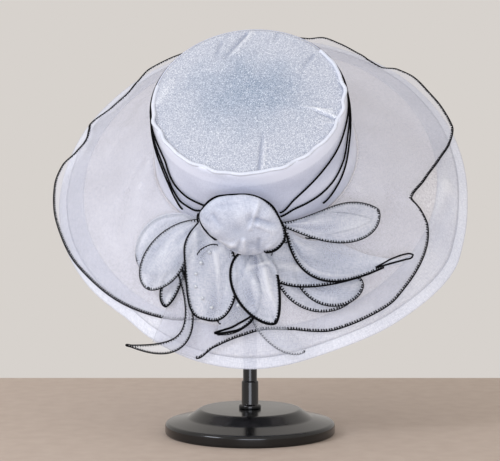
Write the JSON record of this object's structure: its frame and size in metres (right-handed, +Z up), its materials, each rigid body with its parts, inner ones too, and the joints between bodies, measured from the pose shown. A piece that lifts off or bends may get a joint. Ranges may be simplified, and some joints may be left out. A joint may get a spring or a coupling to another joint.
{
  "type": "summer hat on a display stand",
  "caption": "Wide-brimmed dress hat of sheer white organza with a ruffled brim overlay and a bow of leaf-shaped petals, all edged in black, on a plain black display stand.",
  "frame": {"origin": "centre of the stand's underside, on the table", "axes": "+Z up, -Y towards the hat's front where the bow sits, +X to the viewer's right"},
  "size_m": [0.4018, 0.2979, 0.3812],
  "materials": {
    "black_plastic": "gloss black moulded plastic",
    "white_organza": "stiffened white organza, slightly lilac, two layers",
    "sheer_organza": "one sheer layer of white organza",
    "white_sash": "smooth folded organza sash",
    "glitter_organza": "organza woven with fine silvery glitter thread",
    "black_thread": "black overlock stitching over a fine cord"
  },
  "bodies": {
    "root": {"stand_base": "black_plastic", "stand_pole": "black_plastic", "stand_head": "black_plastic", "crown_side": "white_organza", "crown_sash": "white_sash", "crown_tip": "glitter_organza", "brim": "white_organza", "brim_hem": "white_organza", "brim_overlay": "sheer_organza", "bow_puff": "white_organza", "bow_stem": "white_organza", "tail_leaf_right": "sheer_organza", "tail_leaf_left": "sheer_organza", "small_leaf_left": "sheer_organza", "curled_leaf_front": "sheer_organza", "back_loop_left": "sheer_organza", "front_loop_left": "sheer_organza", "round_petal_right": "sheer_organza", "inner_petal_right": "sheer_organza", "under_leaf_right": "sheer_organza", "long_leaf_right": "sheer_organza", "loop_right": "sheer_organza", "beaded_petal": "sheer_organza", "front_petal": "sheer_organza", "sash_cord_upper": "black_thread", "sash_cord_middle": "black_thread", "sash_cord_lower": "black_thread", "overlay_edging": "black_thread", "bow_puff_edging": "black_thread", "tail_leaf_right_edging": "black_thread", "tail_leaf_left_edging": "black_thread", "small_leaf_left_edging": "black_thread", "curled_leaf_front_edging": "black_thread", "back_loop_left_edging": "black_thread", "front_loop_left_edging": "black_thread", "round_petal_right_edging": "black_thread", "inner_petal_right_edging": "black_thread", "under_leaf_right_edging": "black_thread", "long_leaf_right_edging": "black_thread", "loop_right_edging": "black_thread", "beaded_petal_edging": "black_thread", "front_petal_edging": "black_thread"}
  },
  "joints": []
}
